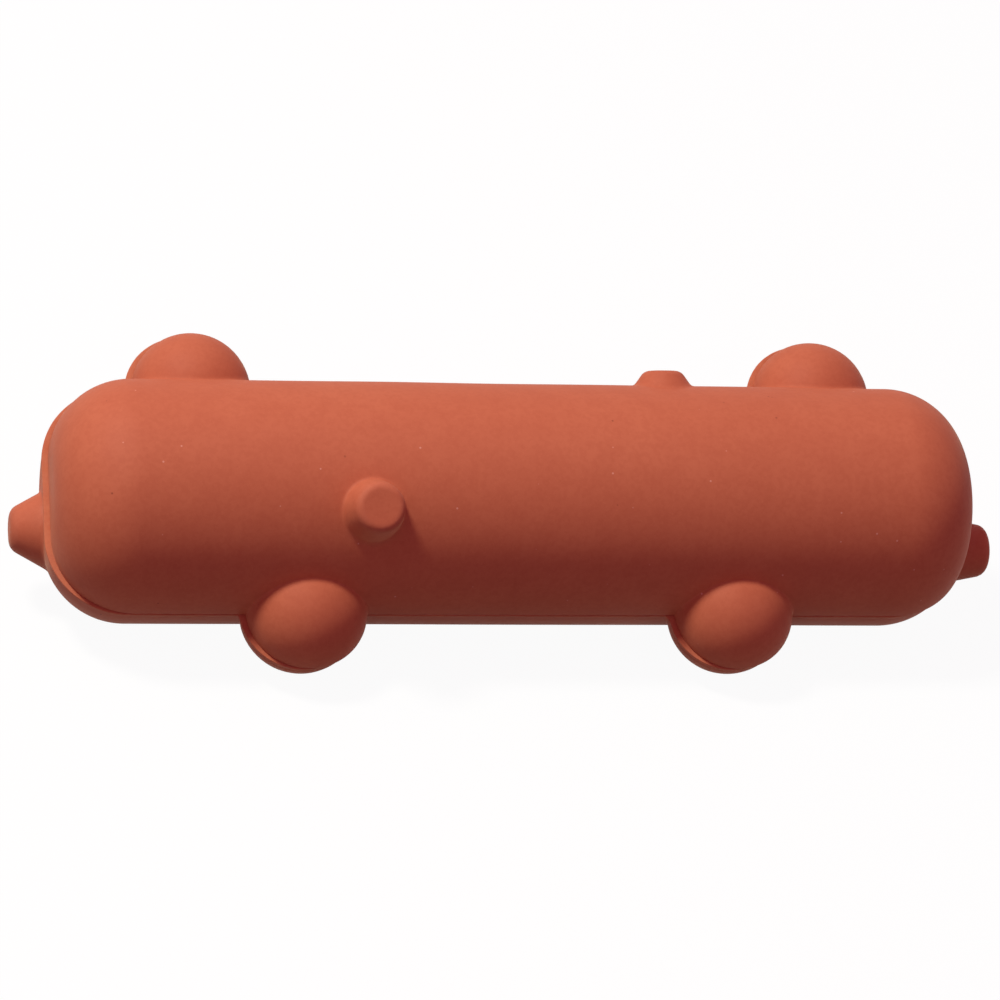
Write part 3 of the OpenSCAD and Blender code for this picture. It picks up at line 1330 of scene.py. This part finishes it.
@dataclass
class RubberHalf:
    """One moulded half: outer skin, hollow and the flat faces at the seam.

    Attributes:
        name: Name of the piece.
        half: Which half it is.
        studs: Angle round the bar and place along it of each stud on its side.
        node: The CAD node that it stands for.
        shape: The toy's shape.
        film_and_highlight_spread: Where its rubber is painted lighter, as a pale film and a painted edge
            highlight.
        gap: Distance between grid lines on plain rubber.
        fine_gap: The same at the studs and the ends.
        seam_gap: The same at the rounded edge of the seam.
        stud_rows: Half width of the closer rows at a stud, in radii of its base.
        stud_columns: Half width of the closer columns there.
        end_rows: Half width of the closer rows at an end, in radii of the bar.
        dome_ring: Ring of small faces at the edge of a dome.
        stud_ring: Ring of small faces that a stud's edge and wall need.
        seam_margin: Width beside the seam over which the rings round end studs fade out.
        hollow_columns: Number of columns of the hollow.
        sharp: Angle from which an edge is shaded sharp.
    """

    name: str
    half: Half
    studs: Sequence[tuple[float, float]]
    node: str
    shape: ToyShape = field(default_factory=ToyShape)
    film_and_highlight_spread: FilmAndHighlight = FilmAndHighlight()
    gap: float = 0.5 * MM
    fine_gap: float = 0.33 * MM
    seam_gap: float = 0.1 * MM
    stud_rows: float = 1.3
    stud_columns: float = 1.2
    end_rows: float = 0.7
    dome_ring: Ring = Ring(0.96, 1.05, 1.4, 3.0, 0.08)
    stud_ring: Ring = Ring(0.4, 1.06, 1.45, 1.5, 0.1)
    seam_margin: float = 1 * MM
    hollow_columns: int = 17
    sharp: float = math.radians(50)

    def along(self, fan: RayFan) -> np.ndarray:
        """Places of the rows along the bar, closer at the studs and the ends.

        Args:
            fan: The rays.

        Returns:
            The places, in order.
        """
        studs, radius = self.shape.studs, self.shape.bar.radius
        coarse = 1
        width = self.stud_rows * studs.side.base_radius
        windows = [(side * studs.along, width, self.fine_gap * coarse) for side in (-1, 1)]
        windows += [(side * fan.reach, radius * self.end_rows, self.fine_gap * coarse) for side in (-1, 1)]
        return graded(-fan.reach, fan.reach, self.gap * coarse, windows)

    def around(self) -> np.ndarray:
        """Angles of the columns round the bar, closer at the studs and the seam.

        Returns:
            The angles, in order.
        """
        radius = self.shape.bar.radius
        coarse = 1
        width = self.stud_columns * self.shape.studs.side.base_radius / radius
        windows = [(angle, width, self.fine_gap * coarse / radius) for angle, _ in self.studs]
        edge = self.shape.seam.edge_round(self.half) / radius
        windows += [(end, edge, self.seam_gap / radius) for end in (0.0, math.pi)]
        return graded(0.0, math.pi, self.gap * coarse / radius, windows)

    def grid(self, fan: RayFan) -> tuple[np.ndarray, np.ndarray]:
        """Grid of the rays to the outer skin, drawn together at every edge.

        Args:
            fan: The rays.

        Returns:
            The places along the bar and the angles round it.
        """
        bar, studs = self.shape.bar, self.shape.studs
        places = np.stack(np.meshgrid(self.along(fan), self.around() * bar.radius, indexing="ij"), axis=-1)
        slip = -self.half.value * self.shape.seam.mismatch
        for row, dome_x in ((0.0, bar.upper_dome_x), (math.pi * bar.radius, bar.lower_dome_x)):
            for middle in (slip - dome_x, slip + dome_x):
                places = self.dome_ring.gather(places, (middle, row), bar.dome_radius)
        for angle, middle in self.studs:
            places = self.stud_ring.gather(places, (middle, angle * bar.radius), studs.side.base_radius)
        if self.half is Half.LOWER:
            for end, form, drop in zip((-1, 1), studs.ends, studs.end_drops):
                places = self.gather_end(fan, places, end, form.base_radius, drop)
        return places[..., 0], places[..., 1] / bar.radius

    def gather_end(
        self, fan: RayFan, places: np.ndarray, end: int, base: float, drop: float
    ) -> np.ndarray:
        """Draws the grid together round an end stud.

        Args:
            fan: The rays.
            places: Places and arc lengths round the bar.
            end: The end, as -1 or 1.
            base: Radius of the stud's base, which is also its distance from the seam.
            drop: How far the stud lies from the middle of the end.

        Returns:
            The grid, moved only round the stud and not at the seam.
        """
        radius = self.shape.bar.radius
        away = fan.reach - end * places[..., 0]
        angle = places[..., 1] / radius
        flat = np.stack([away * np.sin(angle), away * np.cos(angle)], axis=-1)
        lies = math.hypot(base, drop)
        shrink = radius * math.atan(lies / radius) / lies
        share = np.clip(flat[..., :1] / self.seam_margin, 0, 1)
        flat = flat + (self.stud_ring.gather(flat, (base * shrink, -drop * shrink), base) - flat) * share
        turned = np.arctan2(flat[..., 0], flat[..., 1]) * radius
        moved = np.stack([end * (fan.reach - np.linalg.norm(flat, axis=-1)), turned], axis=-1)
        return np.where((share > 0) & (away[..., None] < radius), moved, places)

    def seam_drop(self, points: np.ndarray) -> np.ndarray:
        """How far the skin sinks near the seam, where the moulded edge is rounded.

        Args:
            points: Array of n points on the skin, in the mould's frame.

        Returns:
            The n depths.
        """
        edge = self.shape.seam.edge_round(self.half)
        depth = np.abs(points[:, 1]) - self.shape.seam.thickness / 2
        inner = np.clip(edge - depth, 0, edge)
        return edge - np.sqrt(edge**2 - inner**2)

    def build(self) -> bpy.types.Object:
        """Builds the half.

        Returns:
            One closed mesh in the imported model's frame.
        """
        side = self.half.value
        fan = RayFan(self.shape.bar, side * self.shape.seam.thickness / 2)
        along, around = self.grid(fan)
        starts, ways = fan.rays(along, around, side)
        reach = fan.hit(self.shape.outside(self.half), starts, ways)
        reach = reach - self.seam_drop(starts + ways * reach[:, None])
        outer = starts + ways * reach[:, None]
        inner_around = np.linspace(0, math.pi, self.hollow_columns)
        starts, ways = fan.rays(self.along(fan)[:, None], inner_around, side)
        inner = starts + ways * fan.hit(self.shape.hollow, starts, ways)[:, None]
        rows, columns = along.shape
        inner_columns = len(inner_around)
        first_inner = rows * columns
        faces = [strip_faces(rows, columns), strip_faces(rows, inner_columns, first_inner)]
        row = np.arange(rows - 1)
        for outer_column, inner_column in ((0, 0), (columns - 1, inner_columns - 1)):
            out = row * columns + outer_column
            hollow = first_inner + row * inner_columns + inner_column
            faces.append(np.stack([out, out + columns, hollow + inner_columns, hollow], axis=1))
        points = Mould(self.shape.bar).lie_down(np.concatenate([outer, inner]))
        return make_object(self.name, points, np.concatenate(faces), self.sharp)

    def finish(self, piece: bpy.types.Object, material: bpy.types.Material) -> bpy.types.Object:
        """Dresses the half and sets it on its body.

        Args:
            piece: The half's object.
            material: Its finish.

        Returns:
            The same object.
        """
        points = Mould(self.shape.bar).stand_up(vertex_array(piece.data))
        # Mask of the lighter colour: partly a pale film, partly a painted highlight on edges and seam.
        film_and_highlight_share = self.film_and_highlight_spread.at(points, self.shape.outside(self.half), self.shape.seam.thickness / 2)
        write_attribute(piece.data, "film_and_highlight", film_and_highlight_share)
        piece.data.materials.append(material)
        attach(piece, "toy")
        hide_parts(self.node)
        return piece


@dataclass
class SqueakerSeat:
    """The collar, bore and counterbore that the lower half has for the squeaker.

    Attributes:
        sizes: Sizes of the squeaker.
        bar: Sizes of the bar.
        overcut: How far a cutting tool reaches past the faces that it cuts.
        sharp: Angle from which an edge is shaded sharp.
    """

    sizes: SqueakerSizes = SqueakerSizes()
    bar: BarSizes = BarSizes()
    overcut: float = 1 * MM
    sharp: float = math.radians(38)

    def cut(self, piece: bpy.types.Object) -> None:
        """Adds the collar to the lower half and cuts the bore and the counterbore.

        Args:
            piece: The lower half.
        """
        sizes, over = self.sizes, self.overcut
        wall_middle = self.bar.radius - self.bar.wall / 2
        combine(piece, plug("collar", sizes.collar_radius, sizes.collar_end, wall_middle), "UNION")
        bore = plug("bore", sizes.barrel_radius, sizes.collar_end - over, sizes.flange_seat + over)
        combine(piece, bore, "DIFFERENCE")
        counterbore = plug(
            "counterbore", sizes.flange_radius + sizes.gap, sizes.flange_seat, self.bar.radius + over
        )
        combine(piece, counterbore, "DIFFERENCE")
        tidy_mesh(piece.data, self.sharp)


@dataclass
class RimSweep:
    """Geometry Nodes that sweep the rim's section along a flat closed line.

    Attributes:
        seam: Sizes of the rim.
        material: Its finish.
        spacing: Distance between the sections.
        corner_steps: Number of steps round each of the section's rounded edges.
        waver_detail: How many finer layers the waver has.
        seed: Where the waver's noise is taken.
    """

    seam: SeamSizes
    material: bpy.types.Material
    spacing: float = 0.5 * MM
    corner_steps: int = 4
    waver_detail: float = 3.0
    seed: float = 11.0

    def run(self, piece: bpy.types.Object) -> None:
        """Turns a closed line of edges on z = 0 into the rim.

        Args:
            piece: Object whose mesh is the line.
        """
        sizes = {
            "Spacing": self.spacing,
            "Thickness": self.seam.thickness,
            "Height": self.seam.rim_height,
            "Depth": self.seam.rim_depth,
            "Edge Radius": self.seam.rim_edge,
            "Waver": self.seam.waver,
            "Waver Pitch": self.seam.waver_pitch,
            "Seed": self.seed,
        }
        tree = ShapeTree("rim_sweep", sizes)
        height, depth = tree.given("Height"), tree.given("Depth")
        line = tree.wire("GeometryNodeMeshToCurve", None, {"Mesh": tree.given("Geometry")})
        lengths = {"Curve": line, "Length": tree.given("Spacing")}
        even = tree.wire("GeometryNodeResampleCurve", {"mode": "LENGTH"}, lengths)
        along = tree.wire("GeometryNodeInputTangent")
        across = {0: along, 1: (0.0, 0.0, -1.0)}
        outward = tree.wire("ShaderNodeVectorMath", {"operation": "CROSS_PRODUCT"}, across)
        noise_values = {
            "Vector": tree.wire("GeometryNodeInputPosition"),
            "W": tree.given("Seed"),
            "Scale": 1.0 / tree.given("Waver Pitch"),
            "Detail": self.waver_detail,
        }
        noise = tree.wire("ShaderNodeTexNoise", {"noise_dimensions": "4D"}, noise_values)
        out = (noise - 0.5) * tree.given("Waver") + (height - depth) * 0.5
        shift = tree.wire("ShaderNodeVectorMath", {"operation": "SCALE"}, {0: outward, "Scale": out})
        moved = tree.wire("GeometryNodeSetPosition", None, {"Geometry": even, "Offset": shift})
        upright = tree.wire("GeometryNodeSetCurveNormal", {"mode": "Z_UP"}, {"Curve": moved})
        box = {"Width": height + depth, "Height": tree.given("Thickness")}
        section = tree.wire("GeometryNodeCurvePrimitiveQuadrilateral", {"mode": "RECTANGLE"}, box)
        corners = {"Curve": section, "Count": self.corner_steps, "Radius": tree.given("Edge Radius")}
        rounded = tree.wire("GeometryNodeFilletCurve", {"mode": "POLY"}, corners)
        swept = tree.wire("GeometryNodeCurveToMesh", None, {"Curve": upright, "Profile Curve": rounded})
        tree.close(swept, self.material)
        tree.run(piece)


@dataclass
class SeamBond:
    """The flat bond between the halves and the thin rim that stands proud along it.

    Attributes:
        shape: The toy's shape.
        step: Distance between the points of its outlines.
        rim_film_and_highlight: How strongly the rim is painted lighter, as a pale film and a painted
            highlight.
        sharp: Angle from which an edge is shaded sharp.
    """

    shape: ToyShape = field(default_factory=ToyShape)
    step: float = 0.6 * MM
    rim_film_and_highlight: float = 0.25
    sharp: float = math.radians(38)

    def outline(self, skin: Sdf) -> np.ndarray:
        """Closed line where a skin crosses the middle of the seam, in the mould's frame.

        Args:
            skin: Distance of the skin.

        Returns:
            Points of the line, first along the upper domes' side and back along the lower.
        """
        fan = RayFan(self.shape.bar)
        along = graded(-fan.reach, fan.reach, self.step, [])
        starts, ways = fan.rays(along[:, None], np.array([0.0, math.pi]), 1)
        points = (starts + ways * fan.hit(skin, starts, ways)[:, None]).reshape(len(along), 2, 3)
        return np.concatenate([points[:, 0], points[-2:0:-1, 1]])

    def web(self, material: bpy.types.Material) -> bpy.types.Object:
        """The bond's flat ring, which reaches from the hollow to just under the rim.

        Args:
            material: Its finish.

        Returns:
            The ring, set on its body.
        """
        seam = self.shape.seam
        skin = self.shape.outside(None)
        outer = self.outline(lambda p: skin(p) + seam.cover)
        inner = self.outline(self.shape.hollow)
        side = np.array([0, seam.thickness / 2, 0])
        loop = np.stack([outer + side, outer - side, inner - side, inner + side], axis=1)
        points = Mould(self.shape.bar).lie_down(loop.reshape(-1, 3))
        piece = make_object("seam_web", points, looped_faces(len(outer), 4), self.sharp)
        piece.data.materials.append(material)
        write_attribute(piece.data, "film_and_highlight", np.zeros(len(piece.data.vertices)))
        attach(piece, "toy")
        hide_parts("seam_bond")
        return piece

    def rim(self, material: bpy.types.Material) -> bpy.types.Object:
        """The rim, swept by Geometry Nodes along the seam's outline with a slight waver.

        Args:
            material: Its finish.

        Returns:
            The rim, set on its body.
        """
        slip = self.shape.slip(Half.LOWER)
        bare = self.shape.outside(None)
        line = self.outline(lambda p: bare(p + slip))
        flat = np.stack([line[:, 0], line[:, 2], np.zeros(len(line))], axis=1)
        mesh = bpy.data.meshes.new("seam_rim")
        count = len(flat)
        mesh.from_pydata(flat.tolist(), [(i, (i + 1) % count) for i in range(count)], [])
        piece = linked("seam_rim", mesh)
        RimSweep(self.shape.seam, material).run(piece)
        standing = vertex_array(piece.data)[:, [0, 2, 1]]
        place_vertices(piece.data, Mould(self.shape.bar).lie_down(standing))
        tidy_mesh(piece.data, self.sharp)
        # The rim is painted a little lighter too, partly a pale film and partly a painted highlight.
        write_attribute(piece.data, "film_and_highlight", np.full(len(piece.data.vertices), self.rim_film_and_highlight))
        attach(piece, "toy")
        return piece


@dataclass
class Squeaker:
    """The squeaker's plastic pieces: a detailed housing, and the CAD nodes inside it.

    Attributes:
        sizes: Sizes of the squeaker.
        sides: Number of sides of the housing.
        groove_points: Number of points across the groove round the mouth.
        sharp: Angle from which an edge is shaded sharp.
    """

    sizes: SqueakerSizes = SqueakerSizes()
    sides: int = 128
    groove_points: int = 9
    sharp: float = math.radians(30)

    def profile(self) -> list[tuple[float, float]]:
        """Outline of the housing's wall.

        Returns:
            Closed outline, from the inside of the barrel's end.
        """
        s = self.sizes
        inside = s.barrel_radius - s.barrel_wall
        outside = s.barrel_radius - s.gap
        points = [(inside, s.barrel_end), (inside, s.floor), (s.mouth_radius, s.floor)]
        mouth = (s.mouth_radius + s.mouth_round, s.flange_top - s.mouth_round)
        points += arc(mouth, s.mouth_round, 180, 90)
        points += arc((s.groove_radius, s.flange_top), s.groove, 180, 360, self.groove_points)
        edge = (s.flange_radius - s.edge_round, s.flange_top - s.edge_round)
        points += arc(edge, s.edge_round, 90, 0)
        points += [(s.flange_radius, s.flange_seat), (outside, s.flange_seat)]
        points += arc((outside - s.edge_round, s.barrel_end + s.edge_round), s.edge_round, 0, -90)
        return points

    def housing(self, material: bpy.types.Material) -> bpy.types.Object:
        """Builds the flanged barrel.

        Args:
            material: Its finish.

        Returns:
            The barrel, set on its body.
        """
        piece = lathe("squeaker_barrel", self.profile(), self.sides, self.sharp)
        piece.data.materials.append(material)
        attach(piece, "toy")
        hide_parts("squeaker_housing")
        return piece

    @staticmethod
    def dress(node: bpy.types.Object, material: bpy.types.Material) -> None:
        """Gives a CAD node a finish."""
        node.data.materials.clear()
        node.data.materials.append(material)


# The picture's stage


@dataclass(frozen=True)
class PictureCamera:
    """Camera that sees the toy as the photograph does.

    Attributes:
        azimuth: Angle round the toy, from straight in front of it.
        elevation: Angle above the table.
        roll: Turn about the line of sight.
        distance: Distance from the middle of the bar.
        width_at_toy: Width of the picture at that distance.
        nearest: Distance from which the camera sees.
        sensor: Width of the sensor, in millimetres.
        frame_pixels: Width and height of the picture, in pixels.
        middle_pixel: Where in the picture the middle of the bar is.
    """

    azimuth: float = math.radians(-14.5)
    elevation: float = math.radians(35.16)
    roll: float = math.radians(8.94)
    distance: float = 738.5 * MM
    width_at_toy: float = 166.02 * MM
    nearest: float = 10 * MM
    sensor: float = 36.0
    frame_pixels: float = 1000.0
    middle_pixel: tuple[float, float] = (509.8, 504.2)

    def build(self, aim: Vector) -> None:
        """Makes the camera and sets it as the scene's own.

        Args:
            aim: Middle of the bar.
        """
        flat = math.cos(self.elevation)
        back = Vector(
            (math.sin(self.azimuth) * flat, -math.cos(self.azimuth) * flat, math.sin(self.elevation))
        )
        level = Vector((0, 0, 1)).cross(back).normalized()
        upright = back.cross(level)
        right = level * math.cos(self.roll) + upright * math.sin(self.roll)
        turn = Matrix((right, back.cross(right), back)).transposed().to_4x4()
        data = bpy.data.cameras.new("picture_camera")
        data.sensor_width = self.sensor
        data.lens = self.sensor * self.distance / self.width_at_toy
        data.shift_x = 0.5 - self.middle_pixel[0] / self.frame_pixels
        data.shift_y = self.middle_pixel[1] / self.frame_pixels - 0.5
        data.clip_start = self.nearest
        camera = linked("picture_camera", data)
        camera.matrix_world = Matrix.Translation(aim + back * self.distance) @ turn
        bpy.context.scene.camera = camera


@dataclass(frozen=True)
class Studio:
    """Pale floor, soft key light and a dim room.

    Attributes:
        key_way: Direction from the toy to the key light.
        key_distance: Distance of the key light.
        key_size: Diameter of the key light.
        key_power: Power of the key light, in watts.
        key_tint: Colour of the key light.
        room: Strength of the room's light.
        room_tint: Colour of the room's light.
        floor_size: Half of the floor's width.
        floor_grey: How much of the light on it the floor throws back at the toy.
        floor_glow: Share of its own glow in the white that the camera sees.
    """

    key_way: tuple[float, float, float] = (-0.44, 0.11, 0.926)
    key_distance: float = 1.0
    key_size: float = 0.2
    key_power: float = 8.4
    key_tint: tuple[float, float, float] = (1.0, 0.95, 0.85)
    room: float = 0.33
    room_tint: tuple[float, float, float] = (1.0, 0.3, 0.55)
    floor_size: float = 3.0
    floor_grey: float = 0.2
    floor_glow: float = 0.95

    @staticmethod
    def seen_directly(nodes: Nodes) -> Wire:
        """Tells the rays of the camera, a mirror or glass from light on the toy.

        Args:
            nodes: Tree of the floor's material or of the room.

        Returns:
            1 for the first kind of ray and 0 for the second.
        """
        rays = nodes.node("ShaderNodeLightPath").outputs
        kinds = ("Is Camera Ray", "Is Glossy Ray", "Is Transmission Ray")
        camera, glossy, through = (Wire(nodes, rays[kind]) for kind in kinds)
        return (camera + glossy + through).over(0.0, 1.0)

    def floor(self) -> None:
        """A white floor that shows the toy's shadow, and lights the toy little."""
        work = bmesh.new()
        bmesh.ops.create_grid(work, x_segments=2, y_segments=2, size=self.floor_size)
        mesh = bpy.data.meshes.new("floor")
        work.to_mesh(mesh)
        work.free()
        paint = Paint("pale_floor")
        lit = paint.wire("ShaderNodeBsdfDiffuse", None, {"Color": WHITE})
        glow = paint.wire("ShaderNodeEmission", None, {"Color": WHITE})
        grey = (self.floor_grey,) * 3 + (1,)
        dim = paint.wire("ShaderNodeBsdfDiffuse", None, {"Color": grey})
        pale = paint.wire("ShaderNodeMixShader", None, {0: self.floor_glow, 1: lit, 2: glow})
        seen = self.seen_directly(paint)
        both = paint.wire("ShaderNodeMixShader", None, {0: seen, 1: dim, 2: pale})
        mesh.materials.append(paint.surface(both))
        linked("floor", mesh)

    def key(self, aim: Vector) -> None:
        """The soft key light, above and a little to the left.

        Args:
            aim: Middle of the bar.
        """
        data = bpy.data.lights.new("key_light", "AREA")
        data.shape = "DISK"
        data.size = self.key_size
        data.energy = self.key_power
        data.color = self.key_tint
        lamp = linked("key_light", data)
        way = Vector(self.key_way).normalized()
        lamp.location = aim + way * self.key_distance
        lamp.rotation_mode = "QUATERNION"
        lamp.rotation_quaternion = way.to_track_quat("Z", "Y")

    def world(self) -> None:
        """A dim room that looks white to the camera."""
        world = bpy.data.worlds.new("room")
        world.use_nodes = True
        nodes = Nodes(world.node_tree)
        room = {"Color": (*self.room_tint, 1), "Strength": self.room}
        dim = nodes.wire("ShaderNodeBackground", None, room)
        white = nodes.wire("ShaderNodeBackground", None, {"Color": WHITE, "Strength": 1.0})
        seen = self.seen_directly(nodes)
        both = nodes.wire("ShaderNodeMixShader", None, {0: seen, 1: dim, 2: white})
        nodes.node("ShaderNodeOutputWorld", None, {"Surface": both})
        bpy.context.scene.world = world

    def build(self, aim: Vector) -> None:
        """Makes the floor, the light and the room, with plain colour handling.

        Args:
            aim: Middle of the bar.
        """
        self.floor()
        self.key(aim)
        self.world()
        bpy.context.scene.view_settings.view_transform = "Standard"


def report(piece: bpy.types.Object) -> None:
    """Logs a finished piece."""
    LOG.info("%s has %d faces", piece.name, len(piece.data.polygons))


def main() -> None:
    """Builds the dressed toy and its stage, piece by piece."""
    logging.basicConfig(level=logging.INFO, format="%(name)s: %(message)s")
    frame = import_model()
    shape = ToyShape()
    middle = Vector(Mould().bar_middle)
    PictureCamera().build(middle)
    Studio().build(middle)

    rubber = RubberFinish("natural_rubber").make()
    # The seam's rubber is a little lighter than the halves' rubber: a painted highlight on the seam band,
    # which catches the light.
    seam_rubber = RubberFinish("seam_rubber", body=(196, 116, 80), light=(202, 124, 88)).make()
    plastic = PlasticFinish("squeaker_plastic").make()
    film = PlasticFinish(
        "reed_film",
        body=(210, 214, 218),
        shade=(190, 196, 202),
        marks=Patches(1 * MM, 3.0, 0.0, 0.3, 0.7, 0.5),
        roughness=0.2,
    ).make()

    front, low, rear = (
        math.acos(math.sin(a)) for a in (shape.studs.front_angle, shape.studs.low_angle, shape.rear_angle)
    )
    upper_studs = [(front, -shape.studs.along), (low, shape.studs.low_along)]
    upper = RubberHalf("upper_half", Half.UPPER, upper_studs, "upper_shell", shape)
    report(upper.finish(upper.build(), rubber))

    lower = RubberHalf("lower_half", Half.LOWER, [(rear, shape.studs.along)], "lower_shell", shape)
    lower_piece = lower.build()
    SqueakerSeat().cut(lower_piece)
    report(lower.finish(lower_piece, rubber))

    bond = SeamBond(shape)
    report(bond.web(seam_rubber))
    report(bond.rim(seam_rubber))

    squeaker = Squeaker()
    report(squeaker.housing(plastic))
    for node in ("squeaker_cap", "reed_trough", "reed_wedge"):
        squeaker.dress(frame["nodes"][node], plastic)
        LOG.info("%s keeps its CAD mesh", node)
    squeaker.dress(frame["nodes"]["reed"], film)
    LOG.info("reed keeps its CAD mesh")


if __name__ == "__main__":
    main()
